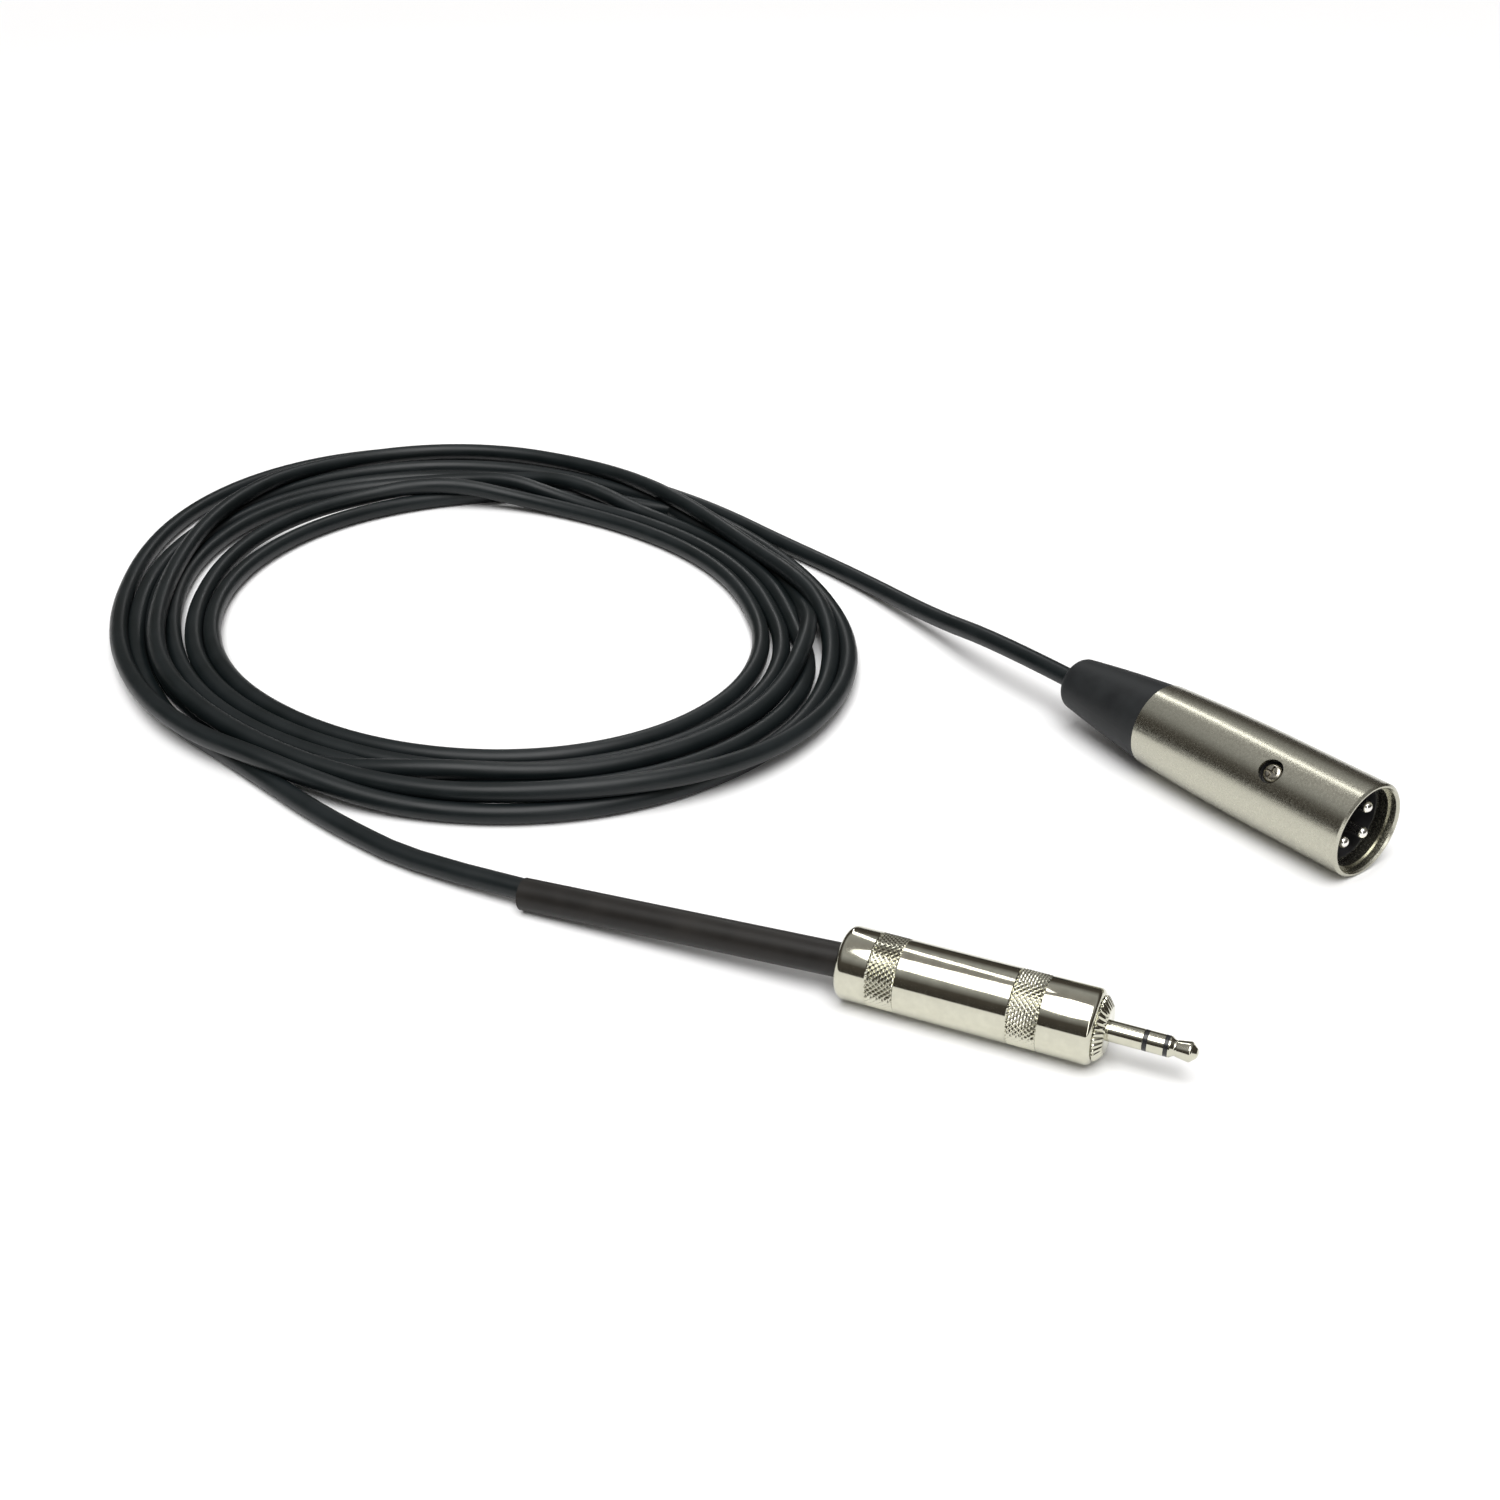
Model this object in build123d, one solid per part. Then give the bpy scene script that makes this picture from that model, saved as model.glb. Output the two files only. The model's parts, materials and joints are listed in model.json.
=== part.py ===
from build123d import *
from math import cos, pi, radians, sin, tan
import os

# Microphone cable, coiled for the shelf: a male three-pin XLR connector on one end and a
# 3.5 mm three-pole jack plug on the other. Millimetres, +Z up, the floor at z = 0. The
# origin is under the middle of everything that lies on the floor.

# ---- the cable and where its ends lie ----
CABLE_R = 2.05
LYING_Z = CABLE_R + 0.05
COIL_CENTRE = Vector(-1.5, 50.0, 0)
COIL_HEIGHT = 10.6
COIL_EDGE = 1.8
COIL_STEP = 30
COIL_OUTER = [83.5, 87.0, 104.0, 115.5, 101.0, 84.0, 81.5, 85.5, 96.5, 97.5, 94.0, 87.5]
COIL_INNER = [57.0, 57.5, 65.5, 70.5, 68.0, 62.0, 59.5, 62.0, 65.5, 69.0, 67.5, 60.5]

XLR_MOUTH = Vector(73.5, -142.8, 9.5)
XLR = Plane(XLR_MOUTH, x_dir=(-1, 0, 0), z_dir=(0, 1, 0))
PLUG_FACE = Vector(-4.4, -152.3, 6.35)
PLUG_HEADING = -61.35
PLUG_DIR = Vector(cos(radians(PLUG_HEADING)), sin(radians(PLUG_HEADING)), 0)
PLUG = Plane(PLUG_FACE, x_dir=(-PLUG_DIR.Y, PLUG_DIR.X, 0), z_dir=PLUG_DIR)

# ---- XLR connector: depths run from the mouth, angles are round its axis ----
SHELL_LENGTH = 50.6
SHELL_R = 9.5
SHELL_REAR_R = 8.65
SHELL_TAPER_START = 24.0
SHELL_WAIST_DEPTH = 38.0
SHELL_WAIST_DROP = 0.26
SHELL_EDGE = 0.4
SHELL_INNER_EDGE = 0.3
SHELL_BORE_END = 34.0
SHELL_REAR_BORE_START = 40.0
MOUTH_R = 8.5
LIP_R = 8.05
LIP_START = 1.9
LIP_END = 4.3
SHELL_REAR_BORE_R = 7.4
KEY_ANGLE = 45.0
INSERT_FACE = 15.0
INSERT_REAR = 25.0
INSERT_R = 8.45
INSERT_LIP_GAP = 0.05
SKIRT_BORE_R = 7.75
PIN_R = 1.18
PIN_START = 2.0
PIN_CIRCLE_R = 3.95
PIN_ANGLES = {1: KEY_ANGLE - 90.0, 2: KEY_ANGLE + 90.0, 3: KEY_ANGLE + 180.0}
CUP_R = 1.45
CUP_END = 31.5
CUP_WALL = 0.4
CUP_BORE_DEPTH = 4.0
CUP_MOUTH_DEPTH = 3.0
LOCK_DEPTH = 18.3
LOCK_HOLE_R = 2.45
LOCK_HEAD_R = 1.95
LOCK_HEAD_BASE = 7.4
LOCK_HEAD_TOP = 9.0
LOCK_HOLE_FLOOR = LOCK_HEAD_BASE + 0.1
LOCK_SHANK_R = 1.2
LOCK_SHANK_END = 3.6
LOCK_SHANK_SPACE = 0.2
LOCK_NUT_SIZE = 4.6
LOCK_NUT_THICK = 1.8
LOCK_NUT_BASE = 4.4
CLAMP_START = 39.0
CLAMP_END = 44.0
CLAMP_R = 3.3
CLAMP_EAR_X = 6.2
CLAMP_EAR_THICK = 1.2
CLAMP_GAP = 0.3
CLAMP_SCREW_X = 4.75
CLAMP_SCREW_R = 0.9
JACKET_END = 38.0
BOOT_PLUG_START = 45.0
BOOT_END = 74.6
BOOT_BASE_R = 8.5
BOOT_TIP_R = 5.35
BOOT_TIP_ROUND = 2.2
BOOT_MIDDLE_R = 7.2
BOOT_MIDDLE_DEPTH = 62.0
BOOT_BASE_STEP = 0.15
BOOT_BASE_RUN = 1.2
BOOT_SHOULDER = 0.35
BOOT_NOSE_DROP = 0.4
BOOT_NOSE_BACK = 0.6
BOOT_FACE_R = BOOT_TIP_R - BOOT_TIP_ROUND + 0.3

# ---- jack plug: z = 0 is the crown's front face, the finger points to +z ----
FINGER_R = 1.75
SLEEVE_LENGTH = 5.7
BAND = 0.7
RING_LENGTH = 2.6
TIP_LENGTH = 4.6
TIP_LAND = 0.25
RING_START = SLEEVE_LENGTH + BAND
TIP_START = RING_START + RING_LENGTH + BAND
CROWN_LENGTH = 1.5
CROWN_FRONT_R = 3.85
CROWN_REAR_R = 5.45
BOSS_R = 4.9
BOSS_REAR = -9.2
BARREL_FRONT = -CROWN_LENGTH - 0.1
BARREL_REAR = -45.3
BARREL_R = 6.35
BARREL_THREAD_R = BOSS_R + 0.06
BARREL_BORE_R = 5.3
BARREL_WALL_REAR = 3.0
BARREL_EXIT_R = 3.65
BARREL_REAR_ROUND = 1.4
BARREL_BEVEL = 0.8
LINER_R = 5.22
LINER_BORE_R = 4.9
LINER_FRONT = -10.2
LINER_REAR = -41.8
THREAD_PITCH = 0.75
THREAD_TURNS = 8
ROD_R = 0.45
RING_TUBE_BORE_R = 0.75
RING_TUBE_R = 1.05
SLEEVE_BORE_R = 1.35
WASHER_R = 3.2
SMALL_WASHER_R = 2.1
WASHER_THICK = 0.8
TAG_THICK = 0.4
TAG_EYE_R = 2.0
TAG_X = 2.2
TAG_HALF_WIDTH = 1.1
PLUG_JACKET_END = -27.0
TIP_ROD_REAR = BOSS_REAR - 2.9
TIP_TUBE_REAR = BOSS_REAR - 2.0
RING_TUBE_REAR = BOSS_REAR - 1.2
THREAD_RELIEF = 0.6
ARM_HALF_WIDTH = 1.6
ARM_THICK = 0.45
ARM_LOW = -3.9
ARM_END = -28.0
SADDLE_START = -28.5
SADDLE_END = -33.0
PLUG_WIRE_R = 0.5
CABLE_EXIT = BARREL_REAR + BARREL_WALL_REAR / 2
SLEEVING_R = 3.0
SLEEVING_LENGTH = 63.5
FIT = 0.02
OVERCUT = 1.0

# ---- the loose stretches of cable, from the connector towards the coil ----
XLR_ROUTE = [
    (XLR_MOUTH.X, XLR_MOUTH.Y + BOOT_END, XLR_MOUTH.Z),
    (XLR_MOUTH.X, -44.0, XLR_MOUTH.Z),
    (77.4, -20.0, 4.6),
    (81.0, 12.0, LYING_Z),
    (78.6, 43.0, LYING_Z),
]
PLUG_ROUTE = [
    tuple(PLUG_FACE + PLUG_DIR * CABLE_EXIT),
    (-64.2, -45.0, 2.2),
    (-73.0, -14.0, LYING_Z),
    (-77.0, 16.0, LYING_Z),
    (-74.6, 45.0, LYING_Z),
]


# ---------------------------------------------------------------- helpers

def turned(*outline):
    """A solid turned about local Z from (radius, z) points; one marked "arc" is an arc's middle."""
    edges = []
    ends = list(outline) + [outline[0]]
    start = ends[0]
    middle = None
    for point in ends[1:]:
        if len(point) == 3:
            middle = point
            continue
        here = (start[0], 0, start[1])
        there = (point[0], 0, point[1])
        if middle:
            edges.append(ThreePointArc(here, (middle[0], 0, middle[1]), there))
            middle = None
        else:
            edges.append(Line(here, there))
        start = point
    return revolve(make_face(edges), axis=Axis.Z)


def rod(radius, low, high):
    """A plain cylinder on local Z between two heights."""
    return Pos(0, 0, (low + high) / 2) * Cylinder(radius, high - low)


def pipe(radius, bore, low, high):
    """A plain tube on local Z between two heights."""
    return rod(radius, low, high) - rod(bore, low - OVERCUT, high + OVERCUT)


def block(x_range, y_range, z_range):
    """A box from its three ranges."""
    sizes = [high - low for low, high in (x_range, y_range, z_range)]
    middle = [(high + low) / 2 for low, high in (x_range, y_range, z_range)]
    return Pos(*middle) * Box(*sizes)


def polar(radius, angle, z=0.0):
    """A point round local Z."""
    return Vector(radius * cos(radians(angle)), radius * sin(radians(angle)), z)


def path_through(points):
    """Straight runs joined by tangent arcs, each as large as its two runs allow."""
    share = 0.45
    places = [Vector(*point) for point in points]
    radii = []
    for before, here, after in zip(places, places[1:], places[2:]):
        turn = radians((here - before).get_angle(after - here))
        shorter = min((here - before).length, (after - here).length)
        radii.append(share * shorter / tan(turn / 2))
    return FilletPolyline(*places, radius=radii), radii


def swept(path, radius):
    """A round cord of one radius along a path."""
    start = Plane(origin=path @ 0, z_dir=path % 0)
    return sweep(start * Circle(radius), path=path)


def wire_along(points, radius):
    """A short round wire along a few local points."""
    path, _ = path_through(points)
    return swept(path, radius)


# ---------------------------------------------------------------- XLR connector

def xlr_shell():
    """Cast metal tube: straight at the mouth, waisted slightly to the rear."""
    body = turned(
        (MOUTH_R, SHELL_EDGE),
        (MOUTH_R + SHELL_INNER_EDGE, 0.0),
        (SHELL_R - SHELL_EDGE, 0.0),
        (SHELL_R, SHELL_EDGE),
        (SHELL_R, SHELL_TAPER_START),
        (SHELL_R - SHELL_WAIST_DROP, SHELL_WAIST_DEPTH, "arc"),
        (SHELL_REAR_R, SHELL_LENGTH),
        (SHELL_REAR_BORE_R, SHELL_LENGTH),
        (SHELL_REAR_BORE_R, SHELL_REAR_BORE_START),
        (MOUTH_R, SHELL_BORE_END),
        (MOUTH_R, LIP_END),
        (LIP_R, LIP_END),
        (LIP_R, LIP_START),
        (MOUTH_R, LIP_START),
    )
    hole = lock_axis() * rod(LOCK_HOLE_R, LOCK_HOLE_FLOOR, SHELL_R + 2 * OVERCUT)
    return body - hole


def lock_axis():
    """Where the locking screw's axis leaves the connector's axis, local +Z pointing out."""
    return Location((0, 0, LOCK_DEPTH), (0, 0, KEY_ANGLE)) * Location((0, 0, 0), (0, 90, 0))


def xlr_insert():
    """Moulded disc that holds the pins, with a skirt lining the mouth and a slot for the nut."""
    disc = rod(INSERT_R, INSERT_FACE, INSERT_REAR)
    skirt = pipe(INSERT_R, SKIRT_BORE_R, LIP_END + INSERT_LIP_GAP, INSERT_FACE)
    body = disc + skirt
    for angle in PIN_ANGLES.values():
        bore = rod(CUP_R + FIT, INSERT_FACE - OVERCUT, INSERT_REAR + OVERCUT)
        body -= Pos(*polar(PIN_CIRCLE_R, angle)) * bore
    seat = rod(LOCK_HOLE_R, LOCK_HEAD_BASE, INSERT_R + OVERCUT)
    shank = rod(LOCK_SHANK_R + FIT, LOCK_SHANK_END - LOCK_SHANK_SPACE, INSERT_R + OVERCUT)
    half = LOCK_NUT_SIZE / 2 + FIT
    reach = INSERT_REAR - LOCK_DEPTH + OVERCUT
    heights = (LOCK_NUT_BASE - FIT, LOCK_NUT_BASE + LOCK_NUT_THICK + FIT)
    nut_slot = block((-reach, half), (-half, half), heights)
    return body - lock_axis() * (seat + shank + nut_slot)


def xlr_pin(angle):
    """Turned contact: domed tip, straight shaft, thicker in the insert, solder cup at the rear."""
    shaft = turned(
        (0, PIN_START),
        (PIN_R * cos(pi / 4), PIN_START + PIN_R * (1 - cos(pi / 4)), "arc"),
        (PIN_R, PIN_START + PIN_R),
        (PIN_R, INSERT_FACE),
        (CUP_R, INSERT_FACE),
        (CUP_R, CUP_END),
        (0, CUP_END),
    )
    bore = rod(CUP_R - CUP_WALL, CUP_END - CUP_BORE_DEPTH, CUP_END + OVERCUT)
    opening = (CUP_END - CUP_MOUTH_DEPTH, CUP_END + OVERCUT)
    mouth = block((-CUP_R, 0), (-CUP_R, CUP_R), opening)
    contact = shaft - bore - mouth
    return Location(polar(PIN_CIRCLE_R, angle), (0, 0, angle)) * contact


def lock_screw():
    """Pan-head screw with a cross recess that locks the insert in the shell."""
    recess_depth = 0.8
    long_half = 1.2
    short_half = 0.25
    side_drop = 0.7
    shoulder_drop = 0.2
    shoulder_r = 1.56
    flat_r = 0.975
    head = turned(
        (0, LOCK_HEAD_BASE),
        (LOCK_HEAD_R, LOCK_HEAD_BASE),
        (LOCK_HEAD_R, LOCK_HEAD_TOP - side_drop),
        (shoulder_r, LOCK_HEAD_TOP - shoulder_drop, "arc"),
        (flat_r, LOCK_HEAD_TOP),
        (0, LOCK_HEAD_TOP),
    )
    shank = rod(LOCK_SHANK_R, LOCK_SHANK_END, LOCK_HEAD_BASE)
    heights = (LOCK_HEAD_TOP - recess_depth, LOCK_HEAD_TOP + OVERCUT)
    arm = block((-long_half, long_half), (-short_half, short_half), heights)
    cross = arm + Rot(0, 0, 90) * arm
    return lock_axis() * (head + shank - cross)


def lock_nut():
    """Square nut in the insert's slot."""
    half = LOCK_NUT_SIZE / 2
    plate = block((-half, half), (-half, half), (LOCK_NUT_BASE, LOCK_NUT_BASE + LOCK_NUT_THICK))
    return lock_axis() * (plate - rod(LOCK_SHANK_R + FIT, 0, LOCK_HEAD_BASE))


def ground_spring():
    """Thin strip from pin 1's cup to the shell wall, bent back along it."""
    angle = PIN_ANGLES[1]
    face = INSERT_REAR + FIT
    thick = 0.3
    width = (-1.5, 1.5)
    tongue_length = 6.0
    eye_rim = 0.6
    wall_gap = 0.2
    reach = MOUTH_R - wall_gap
    plate = block((PIN_CIRCLE_R, reach), width, (face, face + thick))
    tongue = block((reach - thick, reach), width, (face, face + tongue_length))
    hole = Pos(PIN_CIRCLE_R, 0, 0) * rod(CUP_R + FIT, face - OVERCUT, face + OVERCUT)
    eye = Pos(PIN_CIRCLE_R, 0, 0) * rod(CUP_R + eye_rim, face, face + thick)
    return Rot(0, 0, angle) * (plate + tongue + eye - hole)


def clamp_half(side):
    """One saddle of the cord clamp; side is +1 above the cable and -1 below."""
    saddle = pipe(CLAMP_R, CABLE_R + FIT, CLAMP_START, CLAMP_END)
    depths = (CLAMP_START, CLAMP_END)
    ears = block((-CLAMP_EAR_X, CLAMP_EAR_X), (CLAMP_GAP, CLAMP_GAP + CLAMP_EAR_THICK), depths)
    ears -= rod(CABLE_R + FIT, CLAMP_START - OVERCUT, CLAMP_END + OVERCUT)
    keep = block((-SHELL_R, SHELL_R), (CLAMP_GAP, SHELL_R), depths)
    half = (saddle & keep) + ears
    middle = (CLAMP_START + CLAMP_END) / 2
    for x in (-CLAMP_SCREW_X, CLAMP_SCREW_X):
        half -= Location((x, 0, middle), (90, 0, 0)) * Cylinder(CLAMP_SCREW_R + FIT, 2 * SHELL_R)
    return half if side > 0 else Rot(0, 0, 180) * half


def clamp_screw(x):
    """One of the two screws that pull the saddles together, x to the side of the cable."""
    outer = CLAMP_GAP + CLAMP_EAR_THICK
    head_r = 1.5
    head_top = outer + 1.2
    shank_end = -outer - 1.0
    slot_depth = 0.5
    slot_half = 0.2
    head = rod(head_r, outer + FIT, head_top)
    shank = rod(CLAMP_SCREW_R, shank_end, outer + FIT)
    reach = head_r + OVERCUT
    slot = block((-reach, reach), (-slot_half, slot_half), (head_top - slot_depth, head_top + OVERCUT))
    middle = (CLAMP_START + CLAMP_END) / 2
    return Location((x, 0, middle), (-90, 0, 0)) * (head + shank - slot)


def xlr_boot():
    """Rubber bend relief: a plug inside the shell and a tapered nose behind it."""
    return turned(
        (CABLE_R + FIT, BOOT_PLUG_START),
        (SHELL_REAR_BORE_R - FIT, BOOT_PLUG_START),
        (SHELL_REAR_BORE_R - FIT, SHELL_LENGTH + FIT),
        (BOOT_BASE_R, SHELL_LENGTH + FIT),
        (BOOT_BASE_R - BOOT_BASE_STEP, SHELL_LENGTH + BOOT_BASE_RUN),
        (BOOT_MIDDLE_R, BOOT_MIDDLE_DEPTH, "arc"),
        (BOOT_TIP_R + BOOT_SHOULDER, BOOT_END - BOOT_TIP_ROUND),
        (BOOT_TIP_R - BOOT_NOSE_DROP, BOOT_END - BOOT_NOSE_BACK, "arc"),
        (BOOT_FACE_R, BOOT_END),
        (CABLE_R + FIT, BOOT_END),
    )


def xlr_wire(angle):
    """One insulated conductor from the jacket's end to a solder cup."""
    wire_r = 0.6
    inner = 0.95
    straight_out = 2.6
    straight_in = 2.4
    in_cup = 3.8
    points = [
        polar(inner, angle, JACKET_END),
        polar(inner, angle, JACKET_END - straight_out),
        polar(PIN_CIRCLE_R, angle, CUP_END + straight_in),
        polar(PIN_CIRCLE_R, angle, CUP_END - in_cup),
    ]
    return wire_along(points, wire_r)


# ---------------------------------------------------------------- jack plug

def plug_tip():
    """Tip contact: ball-shaped head with a neck, on a rod through the whole plug."""
    rivet_r = 0.9
    rivet_front = BOSS_REAR - 2.42
    neck_r = 1.3
    neck_side_r = 1.38
    neck_half = 0.25
    neck = TIP_START + 1.0
    end = TIP_START + TIP_LENGTH
    belly = TIP_START + 3.2
    belly_r = FINGER_R - 0.05
    edge = belly + 0.3
    edge_r = FINGER_R - 0.12
    front = belly + 0.5
    front_r = FINGER_R - 0.3
    nose = 1.7
    nose_centre = end - nose
    nose_turn = radians(28)
    return turned(
        (0, TIP_ROD_REAR),
        (rivet_r, TIP_ROD_REAR),
        (rivet_r, rivet_front),
        (ROD_R, rivet_front),
        (ROD_R, TIP_START),
        (FINGER_R, TIP_START),
        (FINGER_R, TIP_START + TIP_LAND),
        (neck_side_r, neck - neck_half),
        (neck_r, neck, "arc"),
        (neck_side_r, neck + neck_half),
        (belly_r, belly),
        (edge_r, edge, "arc"),
        (front_r, front),
        (nose * sin(nose_turn), nose_centre + nose * cos(nose_turn)),
        (nose * sin(nose_turn / 2), nose_centre + nose * cos(nose_turn / 2), "arc"),
        (0, end),
    )


def plug_tip_insulator():
    """Moulded tube round the rod, with the black band between tip and ring."""
    return turned(
        (ROD_R + FIT, TIP_TUBE_REAR),
        (RING_TUBE_BORE_R - FIT, TIP_TUBE_REAR),
        (RING_TUBE_BORE_R - FIT, TIP_START - BAND),
        (FINGER_R, TIP_START - BAND),
        (FINGER_R, TIP_START - FIT),
        (ROD_R + FIT, TIP_START - FIT),
    )


def plug_ring():
    """Ring contact: the middle band and its tube back to the solder tag."""
    return turned(
        (RING_TUBE_BORE_R, RING_TUBE_REAR),
        (RING_TUBE_R, RING_TUBE_REAR),
        (RING_TUBE_R, RING_START),
        (FINGER_R, RING_START),
        (FINGER_R, TIP_START - BAND - FIT),
        (RING_TUBE_BORE_R, TIP_START - BAND - FIT),
    )


def plug_ring_insulator():
    """Moulded tube round the ring's tube, with the black band between ring and sleeve."""
    return turned(
        (RING_TUBE_R + FIT, BOSS_REAR),
        (SLEEVE_BORE_R - FIT, BOSS_REAR),
        (SLEEVE_BORE_R - FIT, SLEEVE_LENGTH),
        (FINGER_R, SLEEVE_LENGTH),
        (FINGER_R, RING_START - FIT),
        (RING_TUBE_R + FIT, RING_START - FIT),
    )


def plug_body():
    """Sleeve contact, crown and the boss that the barrel screws on to, in one turning."""
    crown_rim = 0.2
    return turned(
        (SLEEVE_BORE_R, BOSS_REAR),
        (BOSS_R, BOSS_REAR),
        (BOSS_R, -CROWN_LENGTH),
        (CROWN_REAR_R, -CROWN_LENGTH),
        (CROWN_REAR_R, -CROWN_LENGTH + crown_rim),
        (CROWN_FRONT_R, 0),
        (FINGER_R, 0),
        (FINGER_R, SLEEVE_LENGTH - FIT),
        (SLEEVE_BORE_R, SLEEVE_LENGTH - FIT),
    )


def plug_washer_front():
    """Fibre washer between the boss and the ring's solder tag."""
    return pipe(WASHER_R, RING_TUBE_R + FIT, BOSS_REAR - WASHER_THICK, BOSS_REAR - FIT)


def plug_washer_rear():
    """Smaller fibre washer between the two solder tags."""
    low = BOSS_REAR - 2 * WASHER_THICK - TAG_THICK
    return pipe(SMALL_WASHER_R, RING_TUBE_BORE_R + FIT, low, low + WASHER_THICK - FIT)


def solder_tag(bore, top, side, length):
    """A washer with a tongue bent back along the plug; side is -1 or +1 across it."""
    eyelet_r = 0.6
    eyelet_from_end = 1.4
    low = top - TAG_THICK
    back = TAG_X + TAG_THICK
    width = (-TAG_HALF_WIDTH, TAG_HALF_WIDTH)
    eye = rod(TAG_EYE_R, low, top) + block((0, back), width, (low, top))
    tongue = block((TAG_X, back), width, (low - length, top))
    place = Location((TAG_X, 0, low - length + eyelet_from_end), (0, 90, 0))
    hole = place * Cylinder(eyelet_r, 2 * TAG_X)
    tag = eye + tongue - hole - rod(bore, low - OVERCUT, top + OVERCUT)
    return tag if side > 0 else Rot(0, 0, 180) * tag


def plug_ring_tag():
    """Solder tag of the ring contact."""
    length = 7.0
    return solder_tag(RING_TUBE_R + FIT, BOSS_REAR - WASHER_THICK - FIT, 1, length)


def plug_tip_tag():
    """Solder tag of the tip contact."""
    length = 5.0
    top = BOSS_REAR - 2 * WASHER_THICK - TAG_THICK - FIT
    return solder_tag(ROD_R + FIT, top, -1, length)


def plug_cord_clamp():
    """Earth arm from the boss, ending in two fingers crimped round the cable."""
    foot_top = -3.3
    foot_thick = 0.6
    slit_half = 0.8
    slit_top = 4.0
    joggle_start = -29.2
    width = (-ARM_HALF_WIDTH, ARM_HALF_WIDTH)
    boss_face = BOSS_REAR - FIT
    arm = block(width, (ARM_LOW, ARM_LOW + ARM_THICK), (ARM_END, boss_face))
    foot = block(width, (ARM_LOW, foot_top), (boss_face - foot_thick, boss_face))
    grip_r = CABLE_R + FIT + ARM_THICK
    saddle = pipe(grip_r, CABLE_R + FIT, SADDLE_END, SADDLE_START)
    slit = block((-slit_half, slit_half), (0, slit_top), (SADDLE_END - OVERCUT, SADDLE_START + OVERCUT))
    joggle = block(width, (ARM_LOW, ARM_THICK / 2 - grip_r), (joggle_start, ARM_END))
    joggle -= rod(CABLE_R + FIT, SADDLE_END - OVERCUT, ARM_END + OVERCUT)
    return arm + foot + joggle + (saddle - slit)


def plug_wires():
    """The three conductors inside the plug, by node name."""
    start = PLUG_JACKET_END
    inner_x = 0.9
    inner_y = 0.6
    tag_gap = 0.05
    tag_x = TAG_X + TAG_THICK + PLUG_WIRE_R + tag_gap
    straight = start + 3.0
    tip_bend = -20.5
    tip_end = -14.0
    ring_bend = -20.8
    ring_end = -14.8
    shield_y = -1.1
    arm_y = -2.92
    shield_straight = start + 2.5
    shield_bend = -21.0
    shield_end = -17.0
    tip = [
        (-inner_x, inner_y, start),
        (-inner_x, inner_y, straight),
        (-tag_x, 0, tip_bend),
        (-tag_x, 0, tip_end),
    ]
    ring = [
        (inner_x, inner_y, start),
        (inner_x, inner_y, straight),
        (tag_x, 0, ring_bend),
        (tag_x, 0, ring_end),
    ]
    shield = [
        (0, shield_y, start),
        (0, shield_y, shield_straight),
        (0, arm_y, shield_bend),
        (0, arm_y, shield_end),
    ]
    return {
        "plug_wire_tip": wire_along(tip, PLUG_WIRE_R),
        "plug_wire_ring": wire_along(ring, PLUG_WIRE_R),
        "plug_wire_shield": wire_along(shield, PLUG_WIRE_R),
    }


def plug_barrel():
    """Screw-on cover of the plug, threaded at the front, open for the cable at the rear."""
    inner_end = BARREL_REAR + BARREL_WALL_REAR
    bend = BARREL_REAR_ROUND * (1 - cos(pi / 4))
    return turned(
        (BARREL_THREAD_R, BARREL_FRONT),
        (BARREL_R - BARREL_BEVEL, BARREL_FRONT),
        (BARREL_R, BARREL_FRONT - BARREL_BEVEL),
        (BARREL_R, BARREL_REAR + BARREL_REAR_ROUND),
        (BARREL_R - bend, BARREL_REAR + bend, "arc"),
        (BARREL_R - BARREL_REAR_ROUND, BARREL_REAR),
        (BARREL_EXIT_R, BARREL_REAR),
        (BARREL_EXIT_R, inner_end),
        (BARREL_BORE_R, inner_end),
        (BARREL_BORE_R, BOSS_REAR - THREAD_RELIEF),
        (BARREL_THREAD_R, BOSS_REAR - THREAD_RELIEF),
    )


def plug_liner():
    """Insulating tube that the barrel carries along over the solder tags."""
    return pipe(LINER_R, LINER_BORE_R, LINER_REAR, LINER_FRONT)


# ---------------------------------------------------------------- the cable

def coil_outline(radii):
    """A closed smooth line round the coil, through one radius for each direction."""
    points = [COIL_CENTRE + polar(radius, COIL_STEP * index) for index, radius in enumerate(radii)]
    return make_face(Spline(*points, periodic=True))


def cable_coil():
    """The outer shape of all the turns together, as they lie on the floor."""
    ring = coil_outline(COIL_OUTER) - coil_outline(COIL_INNER)
    solid = extrude(ring, COIL_HEIGHT)
    flat = 0.01
    rims = solid.edges().filter_by(lambda edge: edge.bounding_box().size.Z < flat)
    return chamfer(rims, COIL_EDGE)


def sleeving():
    """Shrunk tubing over the cable behind the jack plug."""
    start = Vector(*PLUG_ROUTE[0])
    along = (Vector(*PLUG_ROUTE[1]) - start).normalized()
    tube = pipe(SLEEVING_R, CABLE_R + FIT, 0, SLEEVING_LENGTH)
    return Plane(start, z_dir=along).location * tube


def report_path(name, path, radii, solid):
    """Prints a tube's radii, and its volume beside section times length."""
    expected = pi * CABLE_R**2 * path.length
    rounded = [round(radius, 1) for radius in radii]
    print(name, "radii", rounded, "length", round(path.length, 1))
    print("   volume", round(solid.volume, 1), "section x length", round(expected, 1))


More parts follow.
